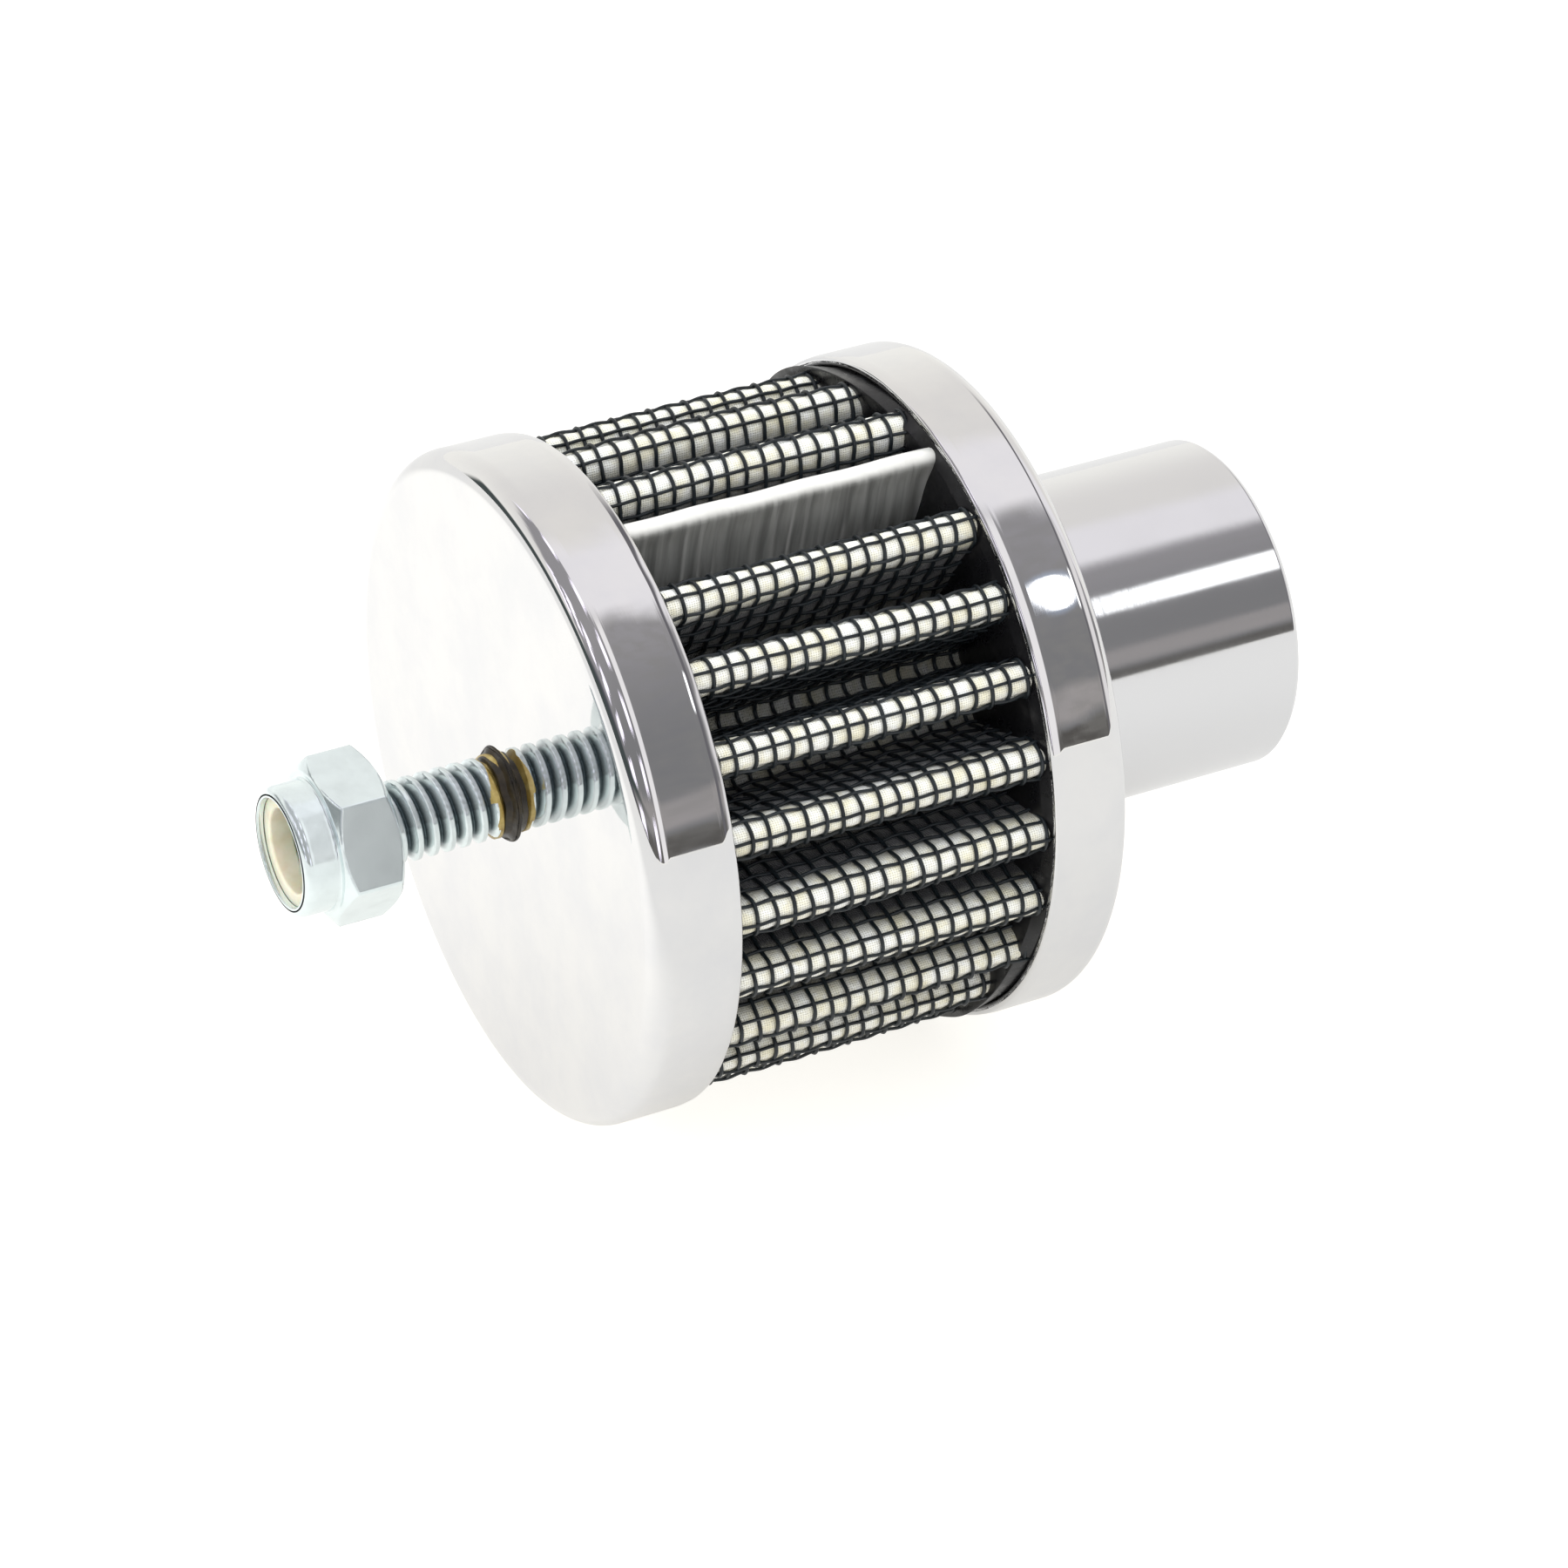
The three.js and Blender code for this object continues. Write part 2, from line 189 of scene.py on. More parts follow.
def fillet(outline, loop=True, support=0.12, step_angle=9):
    """Rounds an outline's corners. A point is (x, r, radius); support points hold the flats flat."""
    pts = [np.array(p[:2], float) for p in outline]
    radii = [p[2] if len(p) > 2 else 0 for p in outline]
    made = []
    for i, p in enumerate(pts):
        inside = loop or 0 < i < len(pts) - 1
        if not inside or radii[i] <= 0:
            made.append(p)
            continue
        a = pts[i - 1] - p
        b = pts[(i + 1) % len(pts)] - p
        u, v = a / np.linalg.norm(a), b / np.linalg.norm(b)
        half = math.acos(max(-1, min(1, float(u @ v)))) / 2
        tangent = radii[i] / math.tan(half)
        centre = p + (u + v) / np.linalg.norm(u + v) * radii[i] / math.sin(half)
        start, end = p + u * tangent - centre, p + v * tangent - centre
        turn = math.pi - 2 * half
        steps = max(3, round(math.degrees(turn) / step_angle))
        if tangent + support < np.linalg.norm(a):
            made.append(centre + start + u * support)
        for k in range(steps + 1):
            t = k / steps
            w = (math.sin((1 - t) * turn) * start + math.sin(t * turn) * end) / math.sin(turn)
            made.append(centre + w)
        if tangent + support < np.linalg.norm(b):
            made.append(centre + end + v * support)
    return np.array(made)


def turn_rows(profile, count, change=None):
    """Rings about the axis from [x, r] points. change(x, r, angle) may bend them a little."""
    angle = np.linspace(0, 2 * np.pi, count, endpoint=False)[None, :]
    x = np.repeat(profile[:, 0][:, None], count, 1)
    r = np.repeat(profile[:, 1][:, None], count, 1)
    if change:
        x, r = change(x, r, angle)
    return np.stack([x, r * np.cos(angle), r * np.sin(angle)], -1)


def ripple(angle, seed, waves):
    """A smooth value round a circle, between about -1 and 1, the same on every run."""
    rng = np.random.default_rng(seed)
    total = 0
    for wave in waves:
        total = total + rng.uniform(0.4, 1) * np.sin(wave * angle + rng.uniform(0, 2 * np.pi))
    return total / len(waves)


def orient(mesh):
    """Turns every face outwards."""
    made = bmesh.new()
    made.from_mesh(mesh)
    bmesh.ops.recalc_face_normals(made, faces=made.faces)
    made.to_mesh(mesh)
    made.free()
    return mesh


# ---- Material helpers ----

def new_material(name, color, **sockets):
    material = bpy.data.materials.new(name)
    material.use_nodes = True
    shader = material.node_tree.nodes["Principled BSDF"]
    shader.inputs["Base Color"].default_value = (*color, 1)
    for socket, value in sockets.items():
        shader.inputs[socket.replace("_", " ")].default_value = value
    return material, material.node_tree, shader


def node(tree, kind, links=(), **values):
    made = tree.nodes.new(kind)
    for key, value in values.items():
        setattr(made, key, value)
    for socket, source in dict(links).items():
        if isinstance(source, bpy.types.NodeSocket):
            tree.links.new(source, made.inputs[socket])
        else:
            made.inputs[socket].default_value = source
    return made


def math_of(tree, operation, *values, clamp=False):
    made = tree.nodes.new("ShaderNodeMath")
    made.operation = operation
    made.use_clamp = clamp
    for i, value in enumerate(values):
        if isinstance(value, bpy.types.NodeSocket):
            tree.links.new(value, made.inputs[i])
        else:
            made.inputs[i].default_value = value
    return made.outputs[0]


def noise_of(tree, vector, scale, detail=2.0, roughness=0.5):
    links = {"Vector": vector, "Scale": scale, "Detail": detail, "Roughness": roughness}
    return node(tree, "ShaderNodeTexNoise", links).outputs[0]


def ramp_of(tree, value, low, high, start=0.0, end=1.0):
    """value from low..high mapped to start..end, smoothly."""
    links = {"Value": value, "From Min": low, "From Max": high, "To Min": start, "To Max": end}
    return node(tree, "ShaderNodeMapRange", links, interpolation_type="SMOOTHSTEP").outputs[0]


def mix_color(tree, factor, first, second):
    made = node(tree, "ShaderNodeMix", data_type="RGBA")
    for index, value in ((0, factor), (6, first), (7, second)):
        if isinstance(value, bpy.types.NodeSocket):
            tree.links.new(value, made.inputs[index])
        elif index == 0:
            made.inputs[index].default_value = value
        else:
            made.inputs[index].default_value = (*value, 1)
    return made.outputs[2]


def object_vector(tree, scale=(1, 1, 1)):
    coordinates = node(tree, "ShaderNodeTexCoord").outputs["Object"]
    return node(tree, "ShaderNodeMapping", {"Vector": coordinates, "Scale": scale}).outputs[0]


def bump_of(tree, height, strength, distance, normal=None):
    links = {"Height": height, "Strength": strength, "Distance": distance}
    made = node(tree, "ShaderNodeBump", links)
    if normal:
        tree.links.new(normal, made.inputs["Normal"])
    return made.outputs[0]


# ---- Materials ----

def chrome_material():
    material, tree, shader = new_material("cap_chrome", (0.86, 0.865, 0.875), Metallic=1.0)
    place = object_vector(tree)
    smudge = noise_of(tree, place, 140, 4, 0.6)
    tree.links.new(ramp_of(tree, smudge, 0.35, 0.75, 0.01, 0.04), shader.inputs["Roughness"])
    tint = mix_color(tree, ramp_of(tree, smudge, 0.3, 0.7), (0.84, 0.835, 0.83), (0.79, 0.79, 0.8))
    tree.links.new(tint, shader.inputs["Base Color"])
    wave = bump_of(tree, noise_of(tree, place, 150, 1.5), 0.06, 0.00002)
    orange = bump_of(tree, noise_of(tree, place, 900, 2), 0.07, 0.000003, wave)
    scratch = noise_of(tree, object_vector(tree, (900, 60, 60)), 8, 3, 0.7)
    tree.links.new(bump_of(tree, scratch, 0.01, 0.000004, orange), shader.inputs["Normal"])
    return material


def aluminium_material():
    material, tree, shader = new_material("neck_aluminium", (0.8, 0.8, 0.81), Metallic=1.0)
    place = object_vector(tree)
    smudge = noise_of(tree, place, 160, 3, 0.6)
    tree.links.new(ramp_of(tree, smudge, 0.3, 0.75, 0.06, 0.12), shader.inputs["Roughness"])
    lines = noise_of(tree, object_vector(tree, (2600, 70, 70)), 1, 3, 0.6)
    rings = bump_of(tree, lines, 0.2, 0.000012)
    wave = bump_of(tree, noise_of(tree, place, 260, 2), 0.2, 0.00002, rings)
    tree.links.new(wave, shader.inputs["Normal"])
    return material


def zinc_material(name, color, roughness):
    material, tree, shader = new_material(name, color, Metallic=0.8)
    place = object_vector(tree)
    cloud = noise_of(tree, place, 420, 4, 0.6)
    spread = ramp_of(tree, cloud, 0.3, 0.75, roughness - 0.03, roughness + 0.06)
    tree.links.new(spread, shader.inputs["Roughness"])
    darker = tuple(0.9 * c for c in color)
    shade = mix_color(tree, ramp_of(tree, cloud, 0.35, 0.8), color, darker)
    # Painted shade: towards the thread roots the zinc is painted a dark blue-grey, standing in for the
    # shade that falls between the threads.
    at = node(tree, "ShaderNodeSeparateXYZ", {"Vector": place}).outputs
    height = math_of(tree, "SUBTRACT", at["Z"], AXIS_Z * MM)
    across = node(tree, "ShaderNodeCombineXYZ", {"X": at["Y"], "Y": height}).outputs[0]
    radius = node(tree, "ShaderNodeVectorMath", {0: across}, operation="LENGTH").outputs["Value"]
    root = ramp_of(tree, radius, (THREAD_CREST - 0.12) * MM, THREAD_ROOT * MM)
    tree.links.new(mix_color(tree, root, shade, (0.08, 0.11, 0.12)), shader.inputs["Base Color"])
    grain = bump_of(tree, noise_of(tree, place, 1500, 3, 0.6), 0.2, 0.00001)
    tree.links.new(grain, shader.inputs["Normal"])
    return material


def wire_material():
    sockets = {"Roughness": 0.4, "IOR": 1.45, "Coat_Weight": 0.15, "Coat_Roughness": 0.25}
    material, tree, shader = new_material("coated_wire", (0.012, 0.017, 0.022), **sockets)
    cloud = noise_of(tree, object_vector(tree), 700, 3, 0.6)
    shade = mix_color(tree, ramp_of(tree, cloud, 0.35, 0.75), (0.006, 0.01, 0.013), (0.018, 0.024, 0.028))
    tree.links.new(shade, shader.inputs["Base Color"])
    bumps = bump_of(tree, noise_of(tree, object_vector(tree), 2500, 2), 0.5, 0.00003)
    tree.links.new(bumps, shader.inputs["Normal"])
    return material


def gauze_material():
    sockets = {"Roughness": 0.9, "Sheen_Weight": 0.25, "Sheen_Roughness": 0.5}
    material, tree, shader = new_material("cotton_gauze", (0.83, 0.81, 0.74), **sockets)
    flat = node(tree, "ShaderNodeAttribute", attribute_name="flat").outputs["Vector"]
    across = node(tree, "ShaderNodeSeparateXYZ", {"Vector": flat})
    depth = across.outputs["Z"]
    # Painted shade: by its distance from the axis, the gauze is painted near-black down the pleats'
    # flanks and into the valleys, where shade falls; slightly less black at the valley bottoms.
    shaded_flank = ramp_of(tree, depth, 0.0238, 0.0213)
    deep = math_of(tree, "MULTIPLY", shaded_flank, ramp_of(tree, depth, 0.0165, 0.0205, 0.75, 0.99))
    threads = []
    for axis in ("X", "Y"):
        turns = math_of(tree, "MULTIPLY", across.outputs[axis], 2 * math.pi / GAUZE_THREAD_PITCH)
        wave = math_of(tree, "SINE", turns)
        threads.append(math_of(tree, "MULTIPLY", wave, wave))
    weave = math_of(tree, "MULTIPLY", threads[0], threads[1])
    cloud = noise_of(tree, flat, 420, 5, 0.75)
    cream = mix_color(tree, ramp_of(tree, cloud, 0.3, 0.7), (0.97, 0.98, 0.96), (0.82, 0.77, 0.56))
    shade = mix_color(tree, math_of(tree, "MULTIPLY", weave, 0.7), cream, (0.45, 0.42, 0.33))
    # Painted shade: the flanks and valleys are mixed towards near-black.
    shade = mix_color(tree, deep, shade, (0.013, 0.014, 0.018))
    tree.links.new(shade, shader.inputs["Base Color"])
    fuzz = bump_of(tree, noise_of(tree, flat, 3500, 3, 0.7), 0.5, 0.00005)
    woven = math_of(tree, "SUBTRACT", 1.0, weave)
    tree.links.new(bump_of(tree, woven, 0.6, 0.00008, fuzz), shader.inputs["Normal"])
    return material


def clip_material():
    material, tree, shader = new_material("clip_metal", (0.85, 0.85, 0.82), Metallic=0.35)
    place = object_vector(tree)
    cloud = noise_of(tree, object_vector(tree, (1, 1, 0.4)), 380, 4, 0.65)
    tree.links.new(ramp_of(tree, cloud, 0.3, 0.75, 0.32, 0.5), shader.inputs["Roughness"])
    shade = mix_color(tree, ramp_of(tree, cloud, 0.35, 0.75), (0.95, 0.94, 0.88), (0.8, 0.79, 0.74))
    # Painted shade and painted reflection: below the crown the clip is painted dark grey, with streaks
    # across it that stand in for reflections of the neighbouring pleats' wires.
    at = node(tree, "ShaderNodeSeparateXYZ", {"Vector": place}).outputs
    low = ramp_of(tree, at["Z"], AXIS_Z * MM + 0.02315, AXIS_Z * MM + 0.0226)
    reflection_streak = noise_of(tree, object_vector(tree, (1400, 60, 60)), 1, 3, 0.6)
    shaded_flank = mix_color(tree, ramp_of(tree, reflection_streak, 0.3, 0.7), (0.22, 0.22, 0.21), (0.42, 0.42, 0.4))
    shade = mix_color(tree, low, shade, shaded_flank)
    tree.links.new(shade, shader.inputs["Base Color"])
    tree.links.new(bump_of(tree, noise_of(tree, place, 1800, 3), 0.4, 0.00002), shader.inputs["Normal"])
    return material


def potting_material():
    sockets = {"Roughness": 0.3, "IOR": 1.5}
    material, tree, shader = new_material("potting", (0.009, 0.009, 0.01), **sockets)
    place = object_vector(tree)
    cloud = noise_of(tree, place, 500, 4, 0.6)
    tree.links.new(ramp_of(tree, cloud, 0.3, 0.75, 0.22, 0.5), shader.inputs["Roughness"])
    dust = mix_color(tree, ramp_of(tree, cloud, 0.55, 0.85), (0.008, 0.008, 0.009), (0.03, 0.029, 0.028))
    tree.links.new(dust, shader.inputs["Base Color"])
    tree.links.new(bump_of(tree, noise_of(tree, place, 380, 3), 0.5, 0.0002), shader.inputs["Normal"])
    return material


def sealant_material(name, dark, light, transmission):
    sockets = {"Roughness": 0.35, "IOR": 1.5, "Transmission_Weight": transmission}
    material, tree, shader = new_material(name, dark, **sockets)
    place = object_vector(tree)
    cloud = noise_of(tree, place, 900, 4, 0.6)
    shade = mix_color(tree, ramp_of(tree, cloud, 0.35, 0.7), dark, light)
    tree.links.new(shade, shader.inputs["Base Color"])
    tree.links.new(bump_of(tree, noise_of(tree, place, 1500, 3), 0.5, 0.0001), shader.inputs["Normal"])
    return material


def nylon_material():
    sockets = {"Roughness": 0.42, "Subsurface_Weight": 0.35, "Subsurface_Scale": 0.001}
    material, tree, shader = new_material("nylon", (0.84, 0.79, 0.62), **sockets)
    cloud = noise_of(tree, object_vector(tree), 500, 3, 0.6)
    shade = mix_color(tree, ramp_of(tree, cloud, 0.35, 0.75), (0.86, 0.82, 0.66), (0.74, 0.68, 0.48))
    tree.links.new(shade, shader.inputs["Base Color"])
    grain = bump_of(tree, noise_of(tree, object_vector(tree), 1800, 2), 0.3, 0.00003)
    tree.links.new(grain, shader.inputs["Normal"])
    return material


# ---- Caps and neck ----

def cap_profile(depth, corner, hole):
    inner = CAP_RADIUS - CAP_SHEET
    return fillet([
        (0, hole, 0.2),
        (0, CAP_RADIUS, corner),
        (depth - ROLL_LENGTH, CAP_RADIUS, ROLL_RADIUS),
        (depth, CAP_RADIUS - ROLL_DROP, 0.3),
        (depth, inner, 0.3),
        (CAP_SHEET, inner, corner - CAP_SHEET),
        (CAP_SHEET, hole, 0.2),
    ])


def dented(seed, edge_x, amount):
    """The slight unevenness of a pressed and polished cap, most of all at its open edge."""
    def change(x, r, angle):
        near_edge = np.exp(-np.abs(x - edge_x) / 0.6)
        rim = (r > CAP_RADIUS - 4) * np.clip((r - CAP_RADIUS + 4) / 4, 0, 1)
        dent = 0.6 * ripple(angle, seed, (2, 3, 5))
        dent = dent + ripple(angle, seed + 1, (17, 23, 31, 44)) * near_edge
        shift = 0.7 * near_edge * ripple(angle, seed + 2, (9, 14, 26, 39))
        return x + amount * shift, r - amount * rim * (1 + dent)
    return change


def front_cap(chrome):
    profile = cap_profile(FRONT_CAP_DEPTH, FRONT_CORNER, FRONT_HOLE_RADIUS)
    rows = turn_rows(profile, 320, dented(3, FRONT_CAP_DEPTH, 0.03))
    mesh = orient(skin("front_cap_shell", rows, True))
    piece = make_object("front_cap_shell", mesh, chrome, "housing")
    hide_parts("front_cap")


def rear_cap(chrome):
    profile = cap_profile(BODY_LENGTH - REAR_CAP_START, REAR_CORNER, NECK_RADIUS + 0.04)
    profile[:, 0] = BODY_LENGTH - profile[:, 0]
    rows = turn_rows(profile, 320, dented(11, REAR_CAP_START, 0.012))
    mesh = orient(skin("rear_cap_shell", rows, True))
    piece = make_object("rear_cap_shell", mesh, chrome, "housing")
    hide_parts("rear_cap")


def neck(aluminium):
    bore = NECK_RADIUS - NECK_WALL
    flange_end = NECK_START + NECK_FLANGE_THICKNESS
    profile = fillet([
        (NECK_START, bore, 0.2),
        (NECK_START, NECK_FLANGE_RADIUS, 0.15),
        (flange_end, NECK_FLANGE_RADIUS, 0.15),
        (flange_end, NECK_RADIUS, 0.3),
        (NECK_END - 0.35, NECK_RADIUS, 0.15),
        (NECK_END, NECK_RADIUS - 0.3, 0.08),
        (NECK_END, bore + 0.35, 0.1),
        (NECK_END - 0.35, bore, 0.15),
    ])
    mesh = orient(skin("neck_tube_turned", turn_rows(profile, 256), True))
    piece = make_object("neck_tube_turned", mesh, aluminium, "housing")
    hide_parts("neck_tube")


# ---- Stud ----

def thread_radius(x, angle):
    """Radius of a right-hand thread with flat crests, sloping flanks and narrow roots."""
    phase = (x / THREAD_PITCH - angle / (2 * np.pi)) % 1
    depth = np.clip((np.abs(phase - 0.5) * 2 - CREST_SHARE) / FLANK_SHARE, 0, 1)
    return THREAD_CREST - (THREAD_CREST - THREAD_ROOT) * depth


def soft_least(a, b, blend):
    """The smaller of two values, with a rounded change-over."""
    t = np.clip(0.5 + 0.5 * (b - a) / blend, 0, 1)
    return b * (1 - t) + a * t - blend * t * (1 - t)


def hexagon_radius(angle, across_flats, turn, blend=0.12):
    """Radius of a hexagon with slightly rounded edges, with a corner at the angle turn."""
    radius = 99.0
    for side in range(6):
        facing = np.radians(turn + 30 + 60 * side)
        toward = np.maximum(np.cos(angle - facing), 0.05)
        radius = soft_least(across_flats / 2 / toward, radius, blend)
    return radius


def threaded_stud(zinc):
    count = STUD_SIDES
    angle = np.linspace(0, 2 * np.pi, count, endpoint=False)
    head_start = STUD_END - HEAD_HEIGHT
    rows = []
    steps = int((head_start - STUD_TIP) / THREAD_PITCH * 20)
    for x in np.linspace(STUD_TIP, head_start, steps):
        r = thread_radius(x, angle)
        r = soft_least(r, THREAD_ROOT - 0.1 + (x - STUD_TIP) * 1.2, 0.1)
        rows.append(np.stack([np.full(count, x), r * np.cos(angle), r * np.sin(angle)], -1))
    hexagon = hexagon_radius(angle, HEX_ACROSS_FLATS, 0)
    for x, chamfer in ((0, 0.9), (0.25, 0.35), (0.7, 0), (3.2, 0), (3.75, 0.45), (HEAD_HEIGHT, 0.9)):
        r = soft_least(hexagon, HEX_CORNER_RADIUS - chamfer, 0.1)
        x = np.full(count, head_start + x)
        rows.append(np.stack([x, r * np.cos(angle), r * np.sin(angle)], -1))
    mesh = orient(skin("threaded_stud", rows))
    mesh.set_sharp_from_angle(angle=math.radians(50))
    piece = make_object("threaded_stud", mesh, zinc, "housing")
    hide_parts("stud_bolt")


def sealant(dark, amber):
    profile = fillet([
        (CAP_SHEET, THREAD_ROOT, 0),
        (CAP_SHEET, BEAD_RADIUS - 0.1, 0.1),
        (-0.05, BEAD_RADIUS, 0.1),
        (-0.2, BEAD_RADIUS - 0.15, 0.1),
        (-0.4, THREAD_CREST, 0.1),
        (-BEAD_HEIGHT, THREAD_CREST - 0.1, 0.1),
        (-BEAD_HEIGHT, THREAD_ROOT, 0),
    ])

    def slump(x, r, angle):
        outside = np.clip((r - THREAD_ROOT) / 0.8, 0, 1) * (x < 0.2)
        swell = ripple(angle, 5, (1, 2, 3, 7))
        run = 0.15 * outside * ripple(angle, 6, (2, 5, 9)) * (x < -0.2)
        return x - run, r + 0.25 * outside * swell

    mesh = orient(skin("sealant_ring", turn_rows(profile, 96, slump), True))
    piece = make_object("sealant_ring", mesh, dark, "housing")
    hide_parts("sealant_bead")

    count = STUD_SIDES
    angle = np.linspace(0, 2 * np.pi, count, endpoint=False)
    rows = []
    for x in np.linspace(-RESIDUE_LENGTH, -0.3, 60):
        along = (x + RESIDUE_LENGTH) / RESIDUE_LENGTH
        edge = along + 0.25 * ripple(angle + x, 8, (2, 3, 6)) - 0.18
        thickness = 0.07 * np.clip(edge * 2.5, -0.5, 1)
        thread = thread_radius(x, angle)
        r = thread * 0.8 + 0.2 * (THREAD_CREST - 0.1) + thickness
        r = np.where(edge > 0, np.maximum(r, thread + 0.03), thread - 0.06)
        rows.append(np.stack([np.full(count, x), r * np.cos(angle), r * np.sin(angle)], -1))
    make_object("sealant_film", orient(skin("sealant_film", rows)), amber, "housing")


# ---- Lock nut ----

def lock_nut(zinc):
    count = 288
    angle = np.linspace(0, 2 * np.pi, count, endpoint=False)
    hexagon = hexagon_radius(angle, HEX_ACROSS_FLATS, NUT_TURN)
    hex_far = NUT_NEAR - NUT_HEX_HEIGHT
    rows = []

    def ring(x, r):
        r = np.broadcast_to(r, angle.shape)
        rows.append(np.stack([np.full(count, x), r * np.cos(angle), r * np.sin(angle)], -1))

    chamfer_start = HEX_CORNER_RADIUS - NUT_CHAMFER
    slope = math.tan(math.radians(NUT_CHAMFER_ANGLE))
    for x in np.linspace(NUT_NEAR, hex_far, 66):
        cone = chamfer_start + min(NUT_NEAR - x, x - hex_far) / slope
        ring(x, soft_least(hexagon, cone, 0.07))
    insert_seat = NUT_FAR + NUT_LIP + INSERT_SEAT_LENGTH
    for x, r in fillet([
        (hex_far, chamfer_start, 0),
        (hex_far, NUT_COLLAR_RADIUS, 0.25),
        (NUT_FAR, NUT_COLLAR_RADIUS - 0.05, 0.75),
        (NUT_FAR, NUT_MOUTH_RADIUS, 0.15),
        (NUT_FAR + NUT_LIP, NUT_MOUTH_RADIUS, 0.05),
        (NUT_FAR + NUT_LIP, INSERT_RADIUS, 0.02),
        (insert_seat, INSERT_RADIUS, 0.02),
        (insert_seat, NUT_BORE_RADIUS, 0.05),
        (NUT_NEAR - BORE_CHAMFER, NUT_BORE_RADIUS, 0.05),
        (NUT_NEAR, NUT_BORE_RADIUS + BORE_CHAMFER, 0.08),
        (NUT_NEAR, chamfer_start - 0.06, 0),
    ], loop=False)[1:]:
        ring(x, r)
    mesh = orient(skin("lock_nut_steel", rows, True))
    mesh.set_sharp_from_angle(angle=math.radians(40))
    piece = make_object("lock_nut_steel", mesh, zinc, "nut")
    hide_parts("lock_nut")


def nylon_ring(nylon):
    start = reach("lock_nut_insert", 0)
    end = reach("lock_nut_insert", 1)
    profile = fillet([
        (start, NUT_BORE_RADIUS, 0.2),
        (start, INSERT_RADIUS - 0.04, 0.1),
        (end, INSERT_RADIUS - 0.04, 0.1),
        (end, NUT_BORE_RADIUS, 0.2),
    ])
    mesh = orient(skin("nylon_ring", turn_rows(profile, 128), True))
    piece = make_object("nylon_ring", mesh, nylon, "nut_travel_carrier")
    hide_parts("lock_nut_insert")


# ---- Pleated element ----

def polar(radius, degrees):
    turn = math.radians(degrees)
    return np.array([radius * math.cos(turn), radius * math.sin(turn)])


def pleat_line():
    """The pleats' outermost line: its points and its outward normals."""
    half = PLEAT_PITCH / 2
    crest_centre = PLEAT_CREST_RADIUS - PLEAT_HALF_WIDTH * CREST_FLATTENING
    root_centre = (PLEAT_HALF_WIDTH + VALLEY_HALF_WIDTH) / math.sin(math.radians(half))
    points, normals = [], []

    def sweep(centre, radius, first, last, side):
        for degrees in np.linspace(first, last, 25):
            points.append(centre + polar(radius, degrees))
            normals.append(polar(side, degrees))

    for i in range(PLEAT_COUNT):
        angle = FIRST_CREST + PLEAT_PITCH * i
        before, after = angle - half, angle + half
        root = polar(root_centre, before)
        sweep(root, VALLEY_HALF_WIDTH, before + 180, angle - 90 + 180, -1)
        sweep(polar(crest_centre, angle), PLEAT_HALF_WIDTH, angle - 90, angle + 90, 1)
        root = polar(root_centre, after)
        sweep(root, VALLEY_HALF_WIDTH, angle + 90 + 180, after + 180, -1)
    return np.array(points), np.array(normals)


LINE_POINTS, LINE_NORMALS = pleat_line()


def along_pleats(s, depth):
    """Point and normal in the YZ plane at the lengths s along the mid line of the wire cloth."""
    point = np.stack([np.interp(s, MID_LENGTH, MID_POINTS[:, k]) for k in (0, 1)], -1)
    normal = np.stack([np.interp(s, MID_LENGTH, MID_NORMALS[:, k]) for k in (0, 1)], -1)
    normal /= np.linalg.norm(normal, axis=-1, keepdims=True)
    offset = np.asarray(SCREEN_THICKNESS / 2 - depth)[..., None]
    return point + normal * offset, normal


MID_POINTS = LINE_POINTS - LINE_NORMALS * SCREEN_THICKNESS / 2
MID_NORMALS = LINE_NORMALS
MID_STEPS = np.linalg.norm(np.diff(MID_POINTS, axis=0), axis=1)
MID_LENGTH = np.concatenate([[0], np.cumsum(MID_STEPS)]) + np.arange(len(MID_POINTS)) * 1e-9
PLEAT_LENGTH = MID_LENGTH[-1] / PLEAT_COUNT
WIRE_PITCH = PLEAT_LENGTH / WIRES_PER_PLEAT


def settle(points):
    """The small unevenness of hand-gathered pleats, shared by all their layers."""
    x, y, z = points[..., 0], points[..., 1], points[..., 2]
    angle = np.arctan2(z, y)
    radius = np.hypot(y, z)
    lean = 0.35 * ripple(angle * 1.0, 21, (5, 9, 13)) + 0.25 * np.sin(x / 7 + 5 * np.sin(3 * angle))
    angle = angle + np.radians(lean) * np.clip((radius - 15) / 9, 0, 1)
    belly = np.sin(np.pi * np.clip((x - PLEAT_START) / (PLEAT_END - PLEAT_START), 0, 1))
    swell = 0.0022 * ripple(angle, 22, (6, 11, 17)) + 0.005 * belly
    swell = 1 + swell * np.clip((radius - 18) / 6, 0, 1)
    return np.stack([x, radius * swell * np.cos(angle), radius * swell * np.sin(angle)], -1)


def tube_mesh(name, wires, sides):
    """One mesh of many wires: each is (centre points, side vectors, up vectors, radius)."""
    turn = np.linspace(0, 2 * np.pi, sides, endpoint=False)
    points, faces, first = [], [], 0
    for centre, side, up, radius in wires:
        outward = np.cos(turn)[:, None] * up[:, None] + np.sin(turn)[:, None] * side[:, None]
        rows = centre[:, None] + radius * outward
        points.append(settle(rows.reshape(-1, 3)))
        faces += ring_faces(len(rows), sides, first).tolist()
        faces.append([first + k for k in range(sides)][::-1])
        last = first + (len(rows) - 1) * sides
        faces.append([last + k for k in range(sides)])
        first += len(rows) * sides
    return mesh_from(name, np.concatenate(points), faces)


